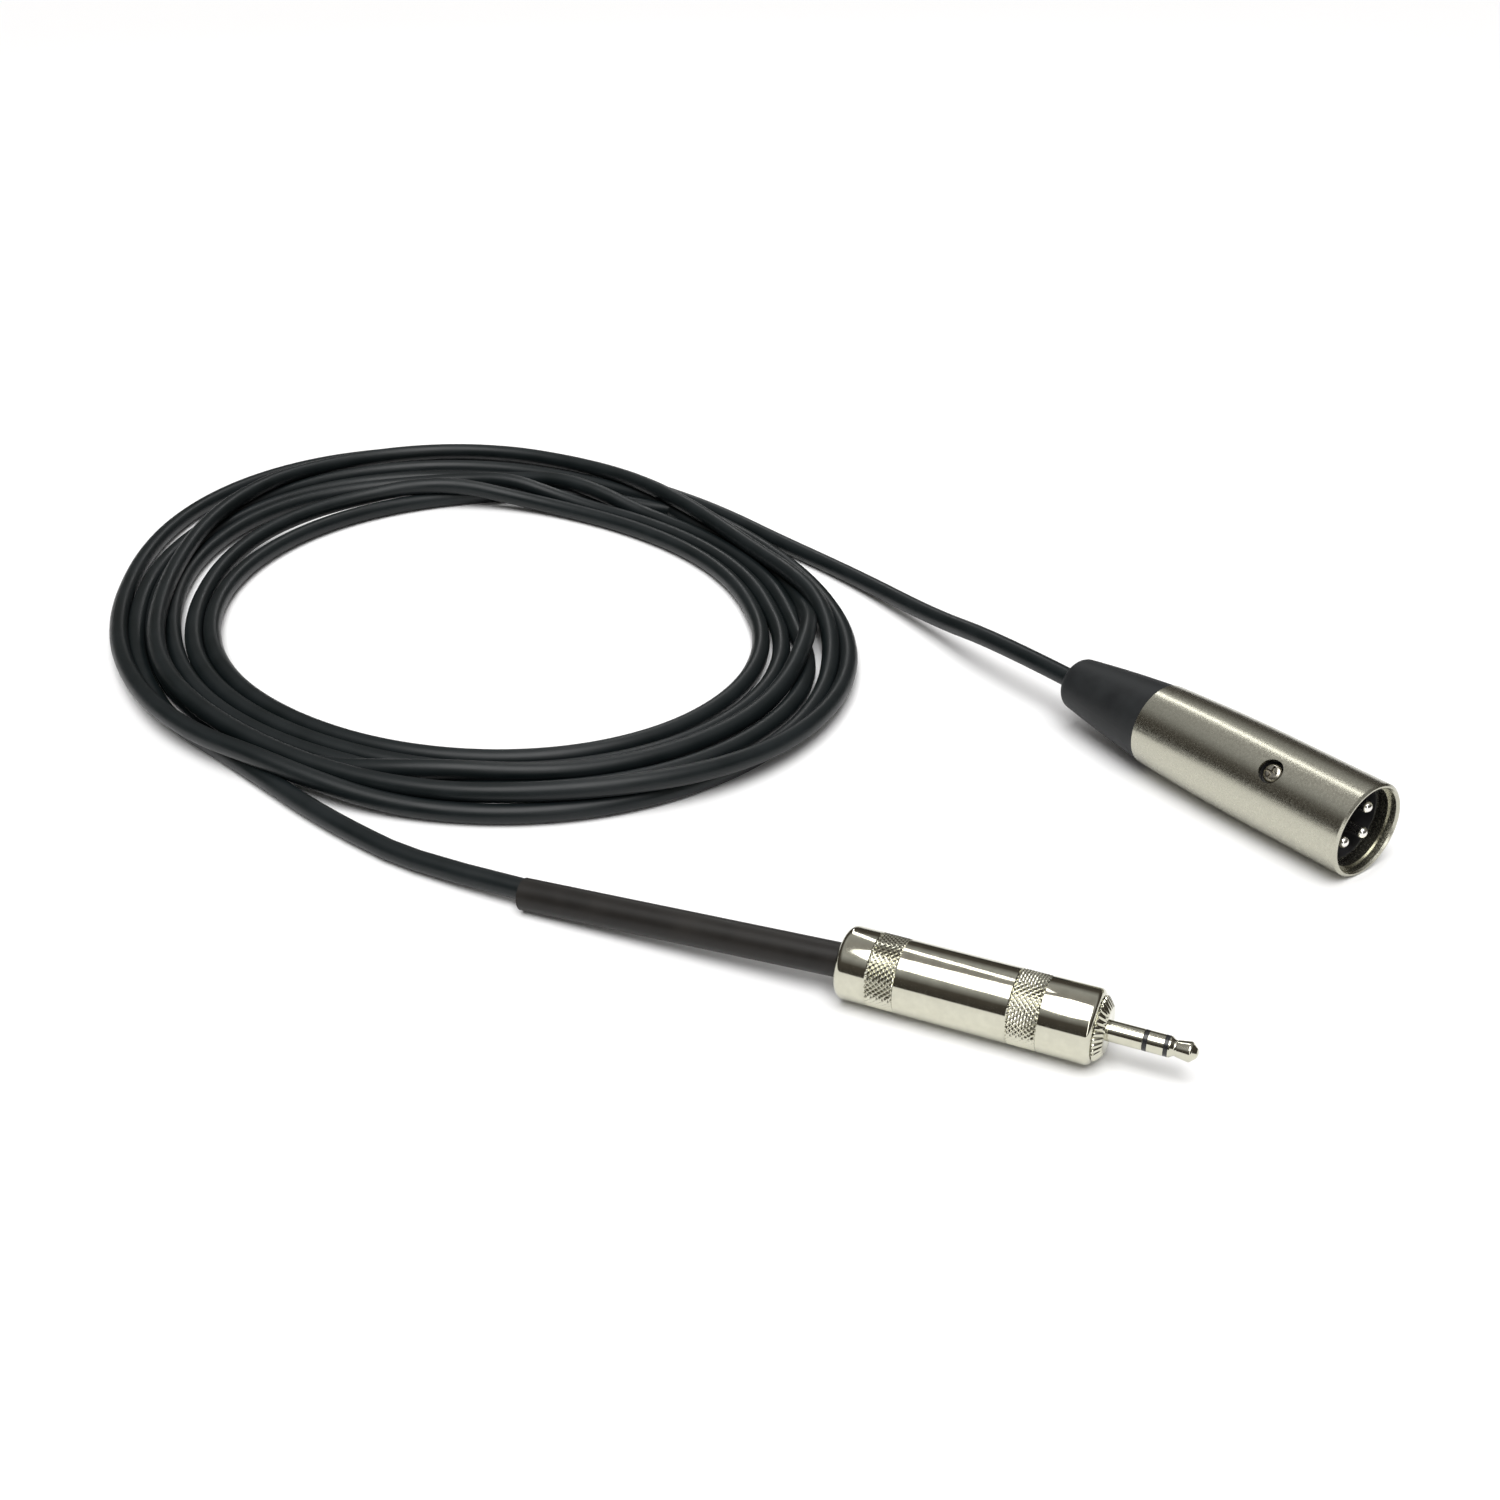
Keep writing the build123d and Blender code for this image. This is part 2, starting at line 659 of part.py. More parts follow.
def build():
    """Every node of the model, by name, in the part's own frame."""
    xlr_local = {
        "xlr_shell": xlr_shell(),
        "xlr_insert": xlr_insert(),
        "xlr_lock_screw": lock_screw(),
        "xlr_lock_nut": lock_nut(),
        "xlr_ground_spring": ground_spring(),
        "xlr_clamp_upper": clamp_half(1),
        "xlr_clamp_lower": clamp_half(-1),
        "xlr_clamp_screw_1": clamp_screw(-CLAMP_SCREW_X),
        "xlr_clamp_screw_2": clamp_screw(CLAMP_SCREW_X),
        "xlr_boot": xlr_boot(),
        "cable_tail_xlr": rod(CABLE_R, JACKET_END, BOOT_END),
    }
    for number, angle in PIN_ANGLES.items():
        xlr_local[f"xlr_pin_{number}"] = xlr_pin(angle)
        xlr_local[f"xlr_wire_{number}"] = xlr_wire(angle)
    plug_local = {
        "plug_tip": plug_tip(),
        "plug_tip_insulator": plug_tip_insulator(),
        "plug_ring": plug_ring(),
        "plug_ring_insulator": plug_ring_insulator(),
        "plug_body": plug_body(),
        "plug_washer_front": plug_washer_front(),
        "plug_washer_rear": plug_washer_rear(),
        "plug_ring_tag": plug_ring_tag(),
        "plug_tip_tag": plug_tip_tag(),
        "plug_cord_clamp": plug_cord_clamp(),
        "plug_barrel": plug_barrel(),
        "plug_liner": plug_liner(),
        "cable_tail_plug": rod(CABLE_R, CABLE_EXIT, PLUG_JACKET_END),
    }
    plug_local.update(plug_wires())
    nodes = {name: XLR.location * part for name, part in xlr_local.items()}
    nodes.update({name: PLUG.location * part for name, part in plug_local.items()})
    nodes["cable_coil"] = cable_coil()
    nodes["cable_sleeving"] = sleeving()
    for name, route in (("cable_lead_xlr", XLR_ROUTE), ("cable_lead_plug", PLUG_ROUTE)):
        path, radii = path_through(route)
        nodes[name] = swept(path, CABLE_R)
        report_path(name, path, radii, nodes[name])
    return nodes


def report_interfaces():
    """Prints the places that the record states: mounts, joint axes and travel."""
    travel = THREAD_PITCH * THREAD_TURNS
    print("barrel axis through", tuple(PLUG_FACE), "direction", tuple(PLUG_DIR))
    print("barrel turns", THREAD_TURNS, "travel", travel, "mm, per radian", THREAD_PITCH / (2 * pi))
    straight = TIP_START + TIP_LAND
    middle = PLUG_FACE + PLUG_DIR * (straight / 2)
    print("finger mount at", tuple(middle), "straight length", straight)
    for number, angle in PIN_ANGLES.items():
        middle_depth = (PIN_START + PIN_R + INSERT_FACE) / 2
        place = XLR.from_local_coords(polar(PIN_CIRCLE_R, angle, middle_depth))
        print("pin", number, "at", tuple(place), "straight length", INSERT_FACE - PIN_START - PIN_R)


os.makedirs("parts", exist_ok=True)
all_nodes = build()
for node_name, node_part in all_nodes.items():
    export_step(node_part, f"parts/{node_name}.step")
whole = Compound(children=[copy for part in all_nodes.values() for copy in part.solids()])
box = whole.bounding_box()
print("box", tuple(box.min), tuple(box.max), "middle", tuple(box.center()))
report_interfaces()
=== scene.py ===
import json
import math

import bpy
import numpy as np
from mathutils import Matrix, Vector


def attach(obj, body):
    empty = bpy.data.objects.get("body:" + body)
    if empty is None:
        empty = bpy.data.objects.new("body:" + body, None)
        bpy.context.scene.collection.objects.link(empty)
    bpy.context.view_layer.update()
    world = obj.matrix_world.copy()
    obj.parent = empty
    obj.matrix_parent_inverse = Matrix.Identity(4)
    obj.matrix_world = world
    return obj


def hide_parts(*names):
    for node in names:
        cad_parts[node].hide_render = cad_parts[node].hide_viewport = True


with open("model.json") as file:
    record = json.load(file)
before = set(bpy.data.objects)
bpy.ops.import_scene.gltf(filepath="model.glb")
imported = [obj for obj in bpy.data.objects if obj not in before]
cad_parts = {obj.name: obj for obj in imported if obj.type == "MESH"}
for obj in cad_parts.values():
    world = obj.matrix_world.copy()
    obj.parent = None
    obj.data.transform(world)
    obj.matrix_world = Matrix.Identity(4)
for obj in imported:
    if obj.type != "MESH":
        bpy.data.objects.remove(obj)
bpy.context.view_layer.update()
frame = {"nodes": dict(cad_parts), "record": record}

# Metres, +Z up, the floor at z = 0. The turns of the coil and the plug's turned profiles are
# given in millimetres and are made metres where they are used.
MM = 0.001

# ---- the cable ----
CABLE_R = 2.05 * MM
LYING_Z = CABLE_R + 0.05 * MM
COIL_CENTRE = Vector((-1.5, 50.0, 0.0)) * MM
XLR_ROUTE = [
    (0.0735, -0.0682, 0.0095),
    (0.0735, -0.0440, 0.0095),
    (0.0774, -0.0200, 0.0046),
    (0.0810, 0.0120, 0.0021),
]
PLUG_ROUTE = [
    (-0.0770, 0.0160, 0.0021),
    (-0.0730, -0.0140, 0.0021),
    (-0.0642, -0.0450, 0.0022),
    (-0.0254, -0.11386, 0.00635),
]

# One row for each turn, from the XLR connector's end: how far out the cable lies to the right,
# at the back, to the left and at the front, the direction of the swell at the back, and the
# height of its middle at the same four places. The seventh row ends at the left.
TURNS_MM = [
    (80.5, 119, 83.5, 98, 84, 2.1, 2.1, 6.2, 2.1),
    (69, 112, 77, 100, 74, 6.2, 6.3, 6.3, 6.3),
    (76.4, 75, 64, 76, 90, 2.1, 2.1, 2.1, 2.1),
    (60, 81, 68.1, 82, 88, 2.1, 6.3, 2.1, 2.1),
    (64.1, 93, 72.2, 91, 95, 2.1, 5.0, 2.1, 2.1),
    (68.2, 98, 76.3, 86, 88, 2.1, 4.5, 2.1, 5.7),
    (72.3, 106, 80.4, 92, 80, 2.1, 2.1, 2.1, 2.1),
]
# Directions are degrees round the coil's middle, 0 to the right and 90 to the back.
START_DIRECTION = -5
END_DIRECTION = 184
FRONT_DIRECTION = 272
POINTS_PER_TURN = 36
BACK_SHARPNESS = 1.7
FRONT_SHARPNESS = 1.3

# ---- how the cable settles: what happens to each free point in a round ----
# The share of the way to the middle of its neighbours, and how far it sinks.
SMOOTHING = 0.01
SINKING = 0.012 * MM
SETTLING_ROUNDS = 160
# Contact is looked for at this many steps between two points, and not between places on the
# line that are at most NEIGHBOUR_POINTS points apart.
STEPS_BETWEEN_POINTS = 4
NEIGHBOUR_POINTS = 5
# How far apart two strands rest, in diameters, and how much of an overlap each gives way by.
STRAND_SPACING = 1.01
PUSH_SHARE = 0.5
# Added to a distance so that it is never zero, because it is divided by.
NO_ZERO = 1e-9

# ---- jack plug: distances in mm along its axis from the crown's front face, finger ahead ----
PLUG_FACE = Vector((-4.4, -152.3, 6.35)) * MM
PLUG_HEADING = math.radians(-61.35)
BARREL_R = 6.35
BARREL_FRONT = -1.6
BARREL_REAR = -45.3
KNURL_REAR = (-39.4, -34.8)
KNURL_FRONT = (-15.3, -10.55)
KNURL_COUNT = 40
KNURL_DEPTH = 0.34
BARREL_SEGMENTS = 400
CROWN_TEETH = 30
CROWN_SEGMENTS = 360
# An edge stays sharp where its two faces meet at more than this many degrees.
CREASE_ANGLE = 38
RIM_STEPS = 6

# ---- finishes ----
# By the record's slot name. First line: the darker and the lighter colour, and how metallic.
# Second line: the lowest and the highest roughness, the scales of the broad and of the fine
# texture, the strength of the relief and its depth in mm, and the specular level.
FINISHES = {
    "satin_nickel": (
        (0.42, 0.41, 0.34), (0.50, 0.49, 0.41), 1.0,
        (0.22, 0.29), (2600, 4200), (0.12, 0.012), 0.5,
    ),
    "bright_nickel": (
        (0.53, 0.52, 0.43), (0.59, 0.58, 0.48), 1.0,
        (0.07, 0.11), (700, 3000), (0.03, 0.004), 0.5,
    ),
    "silver_contact": (
        (0.78, 0.77, 0.73), (0.88, 0.87, 0.84), 1.0,
        (0.14, 0.22), (400, 3000), (0.05, 0.01), 0.5,
    ),
    "zinc_steel": (
        (0.30, 0.28, 0.24), (0.38, 0.36, 0.31), 1.0,
        (0.20, 0.30), (500, 3000), (0.04, 0.01), 0.5,
    ),
    "insert_black": (
        (0.014, 0.014, 0.015), (0.024, 0.024, 0.026), 0.0,
        (0.42, 0.55), (500, 3000), (0.2, 0.03), 0.5,
    ),
    "boot_rubber": (
        (0.010, 0.011, 0.012), (0.017, 0.019, 0.020), 0.0,
        (0.50, 0.62), (220, 2400), (0.35, 0.05), 0.26,
    ),
    "cable_rubber": (
        (0.0035, 0.006, 0.0065), (0.006, 0.009, 0.010), 0.0,
        (0.36, 0.46), (120, 2200), (0.2, 0.02), 0.30,
    ),
    "sleeving_black": (
        (0.009, 0.008, 0.007), (0.016, 0.014, 0.012), 0.0,
        (0.38, 0.50), (140, 1800), (0.2, 0.04), 0.26,
    ),
    "band_black": (
        (0.008, 0.008, 0.009), (0.014, 0.014, 0.015), 0.0,
        (0.22, 0.32), (600, 3000), (0.05, 0.01), 0.5,
    ),
    "liner_clear": (
        (0.60, 0.60, 0.56), (0.74, 0.74, 0.70), 0.0,
        (0.30, 0.42), (200, 2000), (0.1, 0.02), 0.5,
    ),
    "washer_fibre": (
        (0.14, 0.055, 0.03), (0.26, 0.11, 0.055), 0.0,
        (0.70, 0.85), (900, 3000), (0.4, 0.04), 0.5,
    ),
    "wire_red": (
        (0.40, 0.015, 0.015), (0.52, 0.02, 0.02), 0.0,
        (0.36, 0.48), (400, 2500), (0.1, 0.02), 0.5,
    ),
    "wire_white": (
        (0.68, 0.68, 0.66), (0.80, 0.80, 0.78), 0.0,
        (0.36, 0.48), (400, 2500), (0.1, 0.02), 0.5,
    ),
    "wire_copper": (
        (0.62, 0.28, 0.15), (0.80, 0.42, 0.24), 1.0,
        (0.24, 0.38), (900, 3000), (0.3, 0.03), 0.5,
    ),
}
# The part of a noise texture's range that is spread over a finish's two colours or roughnesses,
# and how many octaves the broad and the fine texture have.
NOISE_LOW = 0.3
NOISE_HIGH = 0.7
BROAD_DETAIL = 4.0
FINE_DETAIL = 6.0

# ---- the room ----
FLOOR_HALF = 40.0
FLOOR_TONE = 0.9
FLOOR_ROUGHNESS = 0.7
# The surround's colour by the sine of the height above the horizon: 0 is the horizon and all
# that is below it, and 1 is straight up.
SKY = [
    (0.0, (0.05, 0.045, 0.04)),
    (0.45, (0.09, 0.08, 0.07)),
    (0.72, (0.46, 0.46, 0.46)),
    (1.0, (0.36, 0.34, 0.33)),
]
SUN_STRENGTH = 2.9
SUN_SPREAD = 50
SUN_TILT = (12, -14)
STRIP_AIM = (0.02, -0.14, 0)
STRIP_LENGTH = 0.9
# Name, place, width and power of each strip light.
STRIPS = [
    ("strip_front", (-0.25, -0.60, 0.40), 0.10, 1.1),
    ("strip_back", (0.30, 0.35, 0.55), 0.05, 0.8),
]

# ---- camera ----
CAMERA_PLACE = Vector((-191.2, -305.5, 191.7)) * MM
CAMERA_HEADING = -36.95
CAMERA_PITCH = 29.708
CAMERA_LENS = 44.56
SENSOR = 36.0


def add_camera():
    """A camera at the angle that the object is usually seen from."""
    data = bpy.data.cameras.new("camera")
    data.sensor_width = SENSOR
    data.lens = CAMERA_LENS
    camera = bpy.data.objects.new("camera", data)
    camera.location = CAMERA_PLACE
    camera.rotation_euler = (math.radians(90 - CAMERA_PITCH), 0, math.radians(CAMERA_HEADING))
    bpy.context.scene.collection.objects.link(camera)
    bpy.context.scene.camera = camera


def swell(degrees, sharpness):
    """1 in the given direction, falling to 0 a quarter turn to each side."""
    return max(0.0, math.cos(math.radians(degrees))) ** (2 * sharpness)


def eased(a, b, share):
    """From a to b with no corner at either end."""
    return a + (b - a) * (1 - math.cos(math.pi * share)) / 2


def turn_place(degrees):
    """Radius and height of the cable, in mm, at an angle counted on through all the turns."""
    number = min(int(degrees // 360), len(TURNS_MM) - 1) if degrees >= 0 else 0
    inside = degrees - 360 * number
    right, back, left, front, back_at, *heights = TURNS_MM[number]
    after = TURNS_MM[min(number + 1, len(TURNS_MM) - 1)]
    if inside < 180:
        side = eased(right, left, max(inside, 0) / 180)
    else:
        side = eased(left, after[0], (inside - 180) / 180)
    radius = side
    radius += (back - (right + left) / 2) * swell(inside - back_at, BACK_SHARPNESS)
    radius += (front - (left + after[0]) / 2) * swell(inside - FRONT_DIRECTION, FRONT_SHARPNESS)
    stops = heights + [after[5]]
    quarter = min(max(int(inside // 90), 0), 3)
    height = eased(stops[quarter], stops[quarter + 1], max(inside - 90 * quarter, 0) / 90)
    return radius, height


def coil_points():
    """Points along all the turns, before the cable has settled."""
    step = 360 / POINTS_PER_TURN
    total = 360 * (len(TURNS_MM) - 1) + END_DIRECTION - START_DIRECTION
    count = round(total / step)
    # The spline runs through the middles of the legs between its points, so they stand out.
    widen = 1 / math.cos(math.radians(step / 2))
    points = []
    for index in range(count + 1):
        degrees = START_DIRECTION + total * index / count
        radius, height = turn_place(degrees)
        angle = math.radians(degrees)
        out = Vector((math.cos(angle), math.sin(angle), 0)) * radius * widen * MM
        points.append(COIL_CENTRE + out + Vector((0, 0, height * MM)))
    return points


def settled(points, fixed_ends):
    """Pushes turns that lie in each other apart, and lets the cable down on what is under it."""
    places = np.array([tuple(point) for point in points])
    count = len(places)
    fine = np.linspace(0, count - 1, (count - 1) * STEPS_BETWEEN_POINTS + 1)
    low = np.minimum(fine.astype(int), count - 2)
    share = (fine - low)[:, None]
    weights = np.zeros((len(fine), count))
    weights[np.arange(len(fine)), low] = 1 - share[:, 0]
    weights[np.arange(len(fine)), low + 1] = share[:, 0]
    total_weight = weights.sum(axis=0)[:, None]
    apart = np.abs(fine[:, None] - fine[None, :]) > NEIGHBOUR_POINTS
    free = np.ones(count)
    free[:fixed_ends] = 0
    free[-fixed_ends:] = 0
    free = free[:, None]
    gap = 2 * CABLE_R * STRAND_SPACING
    for _ in range(SETTLING_ROUNDS):
        line = weights @ places
        offset = line[:, None, :] - line[None, :, :]
        distance = np.linalg.norm(offset, axis=2) + NO_ZERO
        short = np.where(apart & (distance < gap), gap - distance, 0.0)
        push = (offset / distance[:, :, None] * short[:, :, None]).sum(axis=1)
        touching = np.maximum((short > 0).sum(axis=1), 1)[:, None]
        moved = weights.T @ (PUSH_SHARE * push / touching) / total_weight
        places = places + free * (moved * STEPS_BETWEEN_POINTS / 2)
        middle = (places[:-2] + places[2:]) / 2
        places[1:-1] += free[1:-1] * SMOOTHING * (middle - places[1:-1])
        places[:, 2] -= free[:, 0] * SINKING
        places[:, 2] = np.maximum(places[:, 2], LYING_Z)
    return [Vector(place) for place in places]


def smooth_line(name, points, radius):
    """A round cord along one open NURBS spline."""
    data = bpy.data.curves.new(name, "CURVE")
    data.dimensions = "3D"
    data.bevel_depth = radius
    data.bevel_resolution = 6
    data.resolution_u = 6
    data.use_fill_caps = True
    spline = data.splines.new("NURBS")
    spline.points.add(len(points) - 1)
    for spot, point in zip(spline.points, points):
        spot.co = (*point, 1)
    spline.order_u = 3
    spline.use_endpoint_u = True
    piece = bpy.data.objects.new(name, data)
    bpy.context.scene.collection.objects.link(piece)
    return piece


def add_cable(materials):
    """The whole cable as one line, from the boot to the jack plug's barrel."""
    near = [Vector(point) for point in XLR_ROUTE]
    far = [Vector(point) for point in PLUG_ROUTE]
    line = settled(near + coil_points() + far, fixed_ends=len(near) + 1)
    piece = smooth_line("cable", line, CABLE_R)
    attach(piece, "cable")
    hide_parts("cable_coil", "cable_lead_xlr", "cable_lead_plug")
    paint(piece, materials["cable_rubber"])
    return piece


# ---- how the finishes are made ----

def new_material(name, color, metallic, roughness):
    """A named material with its uniform values set, its nodes and its shader."""
    material = bpy.data.materials.new(name)
    material.use_nodes = True
    shader = material.node_tree.nodes["Principled BSDF"]
    shader.inputs["Base Color"].default_value = (*color, 1)
    shader.inputs["Metallic"].default_value = metallic
    shader.inputs["Roughness"].default_value = roughness
    return material, material.node_tree, shader


def noise(tree, scale, detail):
    """A noise texture over the object's own coordinates."""
    place = tree.nodes.new("ShaderNodeTexCoord")
    texture = tree.nodes.new("ShaderNodeTexNoise")
    texture.inputs["Scale"].default_value = scale
    texture.inputs["Detail"].default_value = detail
    tree.links.new(place.outputs["Object"], texture.inputs["Vector"])
    return texture.outputs["Fac"]


def vary(tree, factor, low, high, target):
    """Drives a shader value between two numbers with a texture."""
    spread = tree.nodes.new("ShaderNodeMapRange")
    spread.inputs["From Min"].default_value = NOISE_LOW
    spread.inputs["From Max"].default_value = NOISE_HIGH
    spread.inputs["To Min"].default_value = low
    spread.inputs["To Max"].default_value = high
    tree.links.new(factor, spread.inputs["Value"])
    tree.links.new(spread.outputs["Result"], target)


def tint(tree, factor, low, high, target):
    """Drives a shader's colour between two colours with a texture."""
    ramp = tree.nodes.new("ShaderNodeValToRGB")
    ramp.color_ramp.elements[0].position = NOISE_LOW
    ramp.color_ramp.elements[0].color = (*low, 1)
    ramp.color_ramp.elements[1].position = NOISE_HIGH
    ramp.color_ramp.elements[1].color = (*high, 1)
    tree.links.new(factor, ramp.inputs["Fac"])
    tree.links.new(ramp.outputs["Color"], target)


def bump(tree, factor, shader, strength, distance):
    """Fine relief from a texture."""
    relief = tree.nodes.new("ShaderNodeBump")
    relief.inputs["Strength"].default_value = strength
    relief.inputs["Distance"].default_value = distance
    tree.links.new(factor, relief.inputs["Height"])
    tree.links.new(relief.outputs["Normal"], shader.inputs["Normal"])


def textured(name, low, high, metallic, rough, scales, relief, shine):
    """A finish whose colour, gloss and surface all vary, from one row of FINISHES."""
    material, tree, shader = new_material(name, high, metallic, rough[1])
    shader.inputs["Specular IOR Level"].default_value = shine
    broad = noise(tree, scales[0], BROAD_DETAIL)
    fine = noise(tree, scales[1], FINE_DETAIL)
    tint(tree, broad, low, high, shader.inputs["Base Color"])
    vary(tree, broad, rough[0], rough[1], shader.inputs["Roughness"])
    bump(tree, fine, shader, relief[0], relief[1] * MM)
    return material


def make_materials():
    """Every finish, by the record's slot name."""
    return {name: textured(name, *row) for name, row in FINISHES.items()}


def paint(piece, material):
    """Gives a piece one material."""
    piece.data.materials.clear()
    piece.data.materials.append(material)


def paint_frame(materials):
    """Gives every CAD node that stays in view the finish of its slot."""
    for row in frame["record"]["subparts"]:
        node = frame["nodes"][row["node"]]
        for spot in node.material_slots:
            spot.material = materials[row["material_slot"]]


# ---- how the turned pieces are made ----

def plug_matrix():
    """From the plug's own axes, z towards the tip and y up, to the frame's."""
    along = Vector((math.cos(PLUG_HEADING), math.sin(PLUG_HEADING), 0))
    across = Vector((-along.y, along.x, 0))
    turn = Matrix((across, Vector((0, 0, 1)), along)).transposed()
    return Matrix.Translation(PLUG_FACE) @ turn.to_4x4()


def revolved(name, rings, segments, matrix):
    """A closed turned mesh. A ring is (z, a function from angle to radius), all in mm."""
    corners = []
    for height, radius_at in rings:
        for index in range(segments):
            angle = 2 * math.pi * index / segments
            radius = radius_at(angle)
            corner = Vector((radius * math.cos(angle), radius * math.sin(angle), height))
            corners.append(matrix @ (corner * MM))
    faces = []
    count = len(rings)
    for ring in range(count):
        here = ring * segments
        there = (ring + 1) % count * segments
        for index in range(segments):
            after = (index + 1) % segments
            faces.append((here + index, here + after, there + after, there + index))
    data = bpy.data.meshes.new(name)
    data.from_pydata(corners, [], faces)
    data.polygons.foreach_set("use_smooth", [True] * len(faces))
    data.set_sharp_from_angle(angle=math.radians(CREASE_ANGLE))
    data.update()
    piece = bpy.data.objects.new(name, data)
    bpy.context.scene.collection.objects.link(piece)
    return piece


def plain(radius):
    """A ring of one radius."""
    return lambda angle: radius


def knurled(height):
    """A ring through a diamond knurl: grooves of both hands that leave pointed diamonds."""
    pitch = 2 * math.pi * BARREL_R / KNURL_COUNT

    def radius_at(angle):
        around = angle * KNURL_COUNT / (2 * math.pi)
        along = height / pitch
        first = abs((around + along) % 1 * 2 - 1)
        second = abs((around - along) % 1 * 2 - 1)
        return BARREL_R - KNURL_DEPTH * (1 - min(first, second))

    return radius_at


def rounded_rim(radius, corner, z):
    """Rings round the outer corner of a rear face at z."""
    made = []
    for index in range(RIM_STEPS + 1):
        turn = math.radians(90 - 90 * index / RIM_STEPS)
        height = z + corner * (1 - math.sin(turn))
        made.append((height, plain(radius - corner * (1 - math.cos(turn)))))
    return made


def add_barrel(materials):
    """The plug's screw-on barrel with its two bands of diamond knurl."""
    bore = 5.3
    thread = 4.96
    exit_r = 3.65
    wall_rear = 3.0
    rear_round = 1.4
    bevel = 0.8
    # Behind the front face and below the surface, part of the way along the bevel.
    bevel_middle = (0.32, 0.24)
    thread_rear = -9.8
    step = 0.1
    groove = 0.12
    rings = [(BARREL_REAR, plain(exit_r))]
    rings += rounded_rim(BARREL_R, rear_round, BARREL_REAR)
    for low, high in (KNURL_REAR, KNURL_FRONT):
        rings.append((low - 2 * groove, plain(BARREL_R)))
        rings.append((low - groove, plain(BARREL_R - groove)))
        rows = round((high - low) / step)
        for row in range(rows + 1):
            height = low + (high - low) * row / rows
            rings.append((height, knurled(height)))
        rings.append((high + groove, plain(BARREL_R - groove)))
        rings.append((high + 2 * groove, plain(BARREL_R)))
    rings.append((BARREL_FRONT - bevel, plain(BARREL_R)))
    rings.append((BARREL_FRONT - bevel_middle[0], plain(BARREL_R - bevel_middle[1])))
    rings.append((BARREL_FRONT, plain(BARREL_R - bevel)))
    rings.append((BARREL_FRONT, plain(thread)))
    rings.append((thread_rear, plain(thread)))
    rings.append((thread_rear, plain(bore)))
    rings.append((BARREL_REAR + wall_rear, plain(bore)))
    rings.append((BARREL_REAR + wall_rear, plain(exit_r)))
    piece = revolved("barrel_knurled", rings, BARREL_SEGMENTS, plug_matrix())
    paint(piece, materials["bright_nickel"])
    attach(piece, "barrel")
    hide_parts("plug_barrel")
    return piece


def toothed(radius, depth):
    """A ring with narrow cuts of one depth, which leave the crown's rounded teeth."""
    narrowness = 3
    return lambda angle: radius - depth * (0.5 - 0.5 * math.cos(angle * CROWN_TEETH)) ** narrowness


def add_crown(materials):
    """The plug's body in one turning: boss, toothed crown and the sleeve of the finger."""
    finger = 1.75
    bore = 1.35
    boss = 4.9
    boss_rear = -9.2
    sleeve_end = 5.68
    boss_chamfer = 0.2
    finger_chamfer = 0.08
    tooth_depth = 0.34
    crown_rear = -1.5
    rings = [
        # the boss that the barrel screws onto
        (boss_rear, plain(bore)),
        (boss_rear, plain(boss - boss_chamfer)),
        (boss_rear + boss_chamfer, plain(boss)),
        (crown_rear - 0.02, plain(boss)),
        # the crown, from its rear edge over its toothed shoulder to its front face
        (crown_rear, plain(5.3)),
        (-1.44, toothed(5.42, tooth_depth)),
        (-1.3, toothed(5.45, tooth_depth)),
        (-1.0, toothed(5.2, tooth_depth)),
        (-0.5, toothed(4.62, tooth_depth)),
        (-0.12, toothed(4.1, tooth_depth * 0.8)),
        (-0.03, plain(3.85)),
        (0.0, plain(3.72)),
        # the groove round the finger's root, and the finger's sleeve
        (0.0, plain(2.0)),
        (-0.06, plain(finger)),
        (sleeve_end - finger_chamfer, plain(finger)),
        (sleeve_end, plain(finger - finger_chamfer)),
        (sleeve_end, plain(bore)),
    ]
    piece = revolved("crown_and_sleeve", rings, CROWN_SEGMENTS, plug_matrix())
    paint(piece, materials["bright_nickel"])
    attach(piece, "cable")
    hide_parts("plug_body")
    return piece


# ---- how the room is made ----

def add_floor():
    """A plain pale floor."""
    half = FLOOR_HALF
    corners = [(-half, -half, 0), (half, -half, 0), (half, half, 0), (-half, half, 0)]
    data = bpy.data.meshes.new("floor")
    data.from_pydata(corners, [], [(0, 1, 2, 3)])
    floor = bpy.data.objects.new("floor", data)
    bpy.context.scene.collection.objects.link(floor)
    tone = (FLOOR_TONE, FLOOR_TONE, FLOOR_TONE)
    material, _, _ = new_material("floor_pale", tone, 0.0, FLOOR_ROUGHNESS)
    data.materials.append(material)


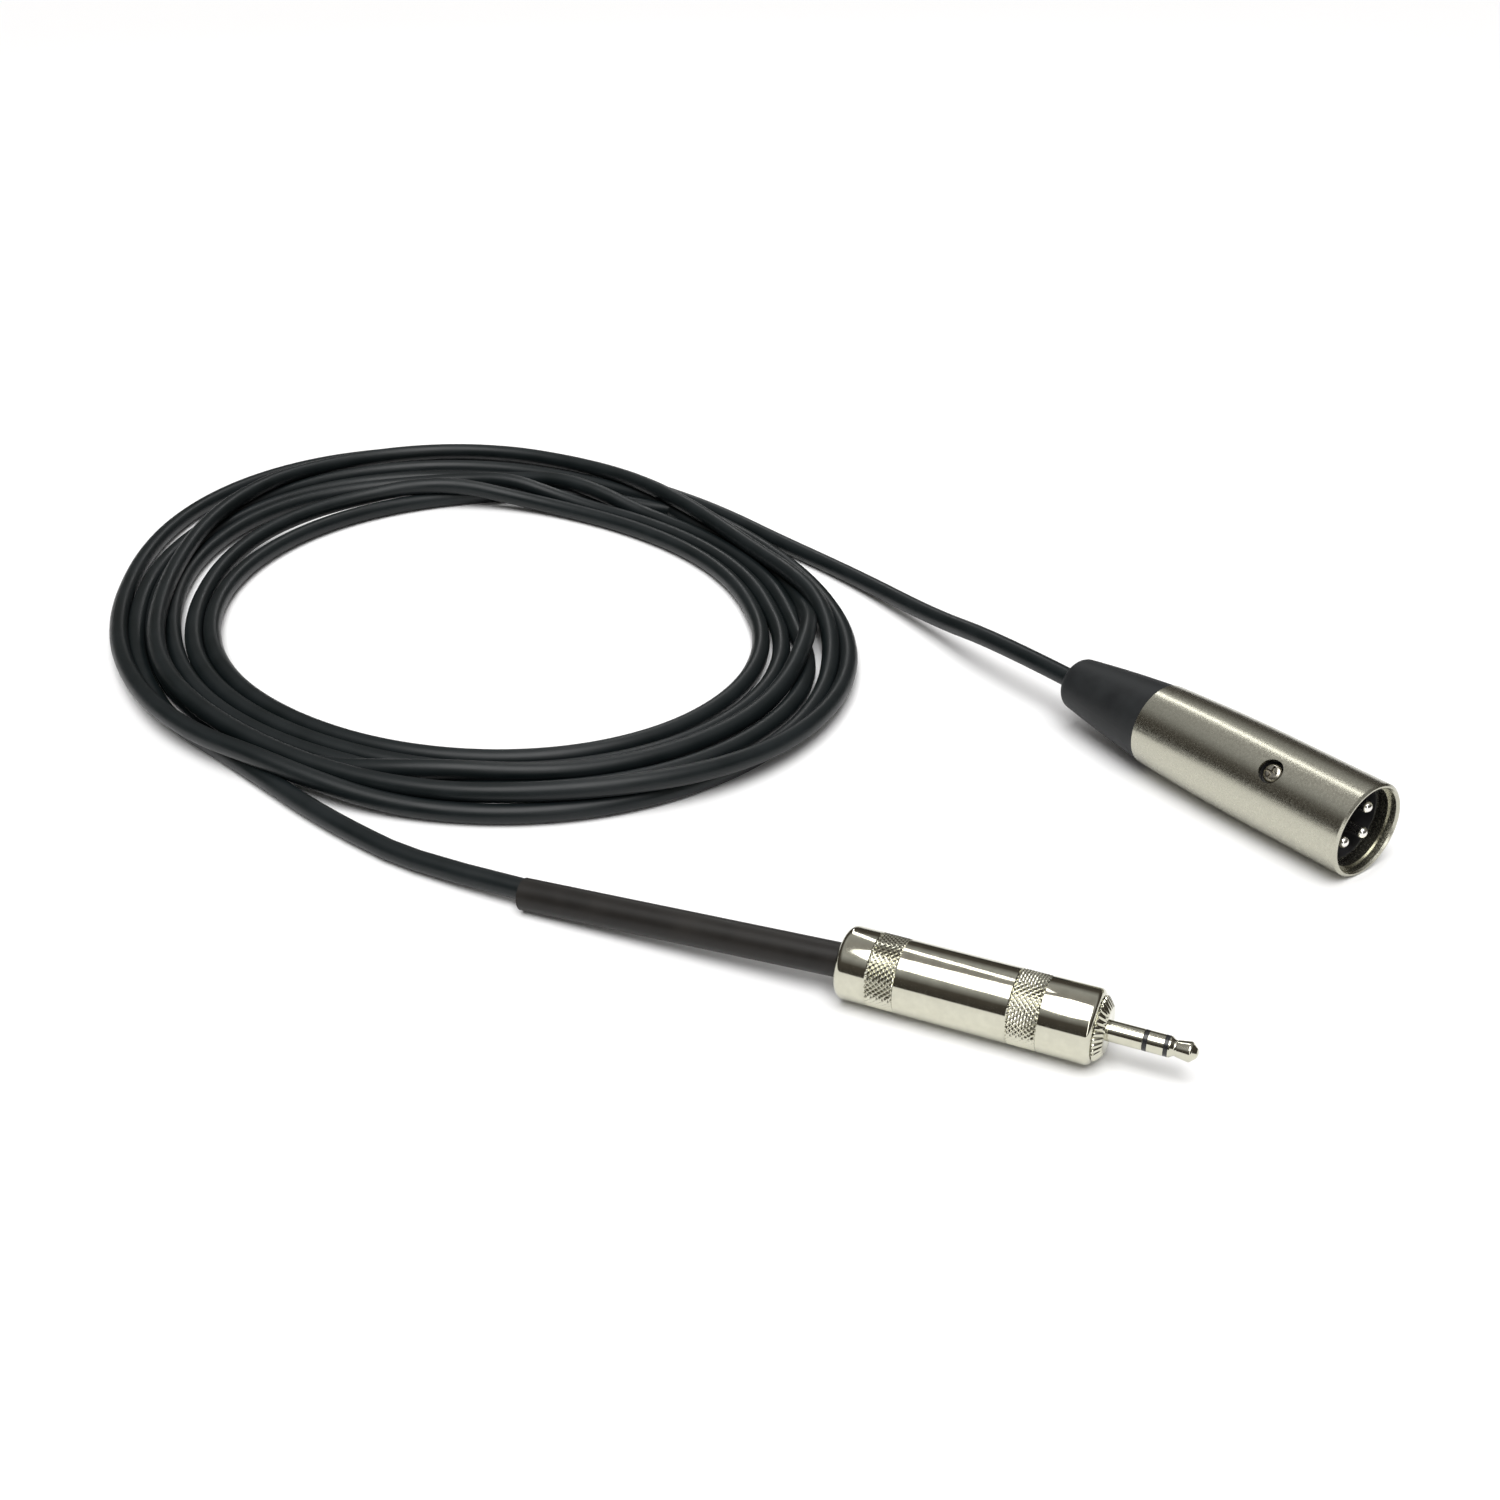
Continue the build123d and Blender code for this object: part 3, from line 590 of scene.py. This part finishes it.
def add_world():
    """A surround that is dim at the horizon and pale overhead, as a soft studio ceiling is."""
    world = bpy.data.worlds.new("surround")
    world.use_nodes = True
    tree = world.node_tree
    direction = tree.nodes.new("ShaderNodeTexCoord")
    parts = tree.nodes.new("ShaderNodeSeparateXYZ")
    ramp = tree.nodes.new("ShaderNodeValToRGB")
    stops = ramp.color_ramp.elements
    for position, _ in SKY[1:-1]:
        stops.new(position)
    for stop, (position, color) in zip(stops, SKY):
        stop.position = position
        stop.color = (*color, 1)
    tree.links.new(direction.outputs["Generated"], parts.inputs["Vector"])
    tree.links.new(parts.outputs["Z"], ramp.inputs["Fac"])
    tree.links.new(ramp.outputs["Color"], tree.nodes["Background"].inputs["Color"])
    bpy.context.scene.world = world


def add_sun():
    """Even soft light over the whole floor."""
    data = bpy.data.lights.new("sun", "SUN")
    data.energy = SUN_STRENGTH
    data.angle = math.radians(SUN_SPREAD)
    lamp = bpy.data.objects.new("sun", data)
    lamp.rotation_euler = (math.radians(SUN_TILT[0]), math.radians(SUN_TILT[1]), 0)
    bpy.context.scene.collection.objects.link(lamp)


def add_strip(name, place, width, watts):
    """A long soft light that draws a band along polished metal."""
    data = bpy.data.lights.new(name, "AREA")
    data.shape = "RECTANGLE"
    data.size = width
    data.size_y = STRIP_LENGTH
    data.energy = watts
    lamp = bpy.data.objects.new(name, data)
    lamp.location = place
    aim = Vector(STRIP_AIM) - Vector(place)
    lamp.rotation_euler = aim.to_track_quat("-Z", "Y").to_euler()
    bpy.context.scene.collection.objects.link(lamp)


add_camera()
materials = make_materials()
paint_frame(materials)
cable = add_cable(materials)
barrel = add_barrel(materials)
crown = add_crown(materials)
add_floor()
add_world()
add_sun()
for strip in STRIPS:
    add_strip(*strip)
bpy.context.scene.view_settings.view_transform = "Standard"

# A curve's box is first worked out from its control points, each with a radius of a metre. It is
# worked out again, from its surface, once the object is marked as changed.
bpy.context.view_layer.update()
cable.update_tag(refresh={"OBJECT"})
bpy.context.view_layer.update()
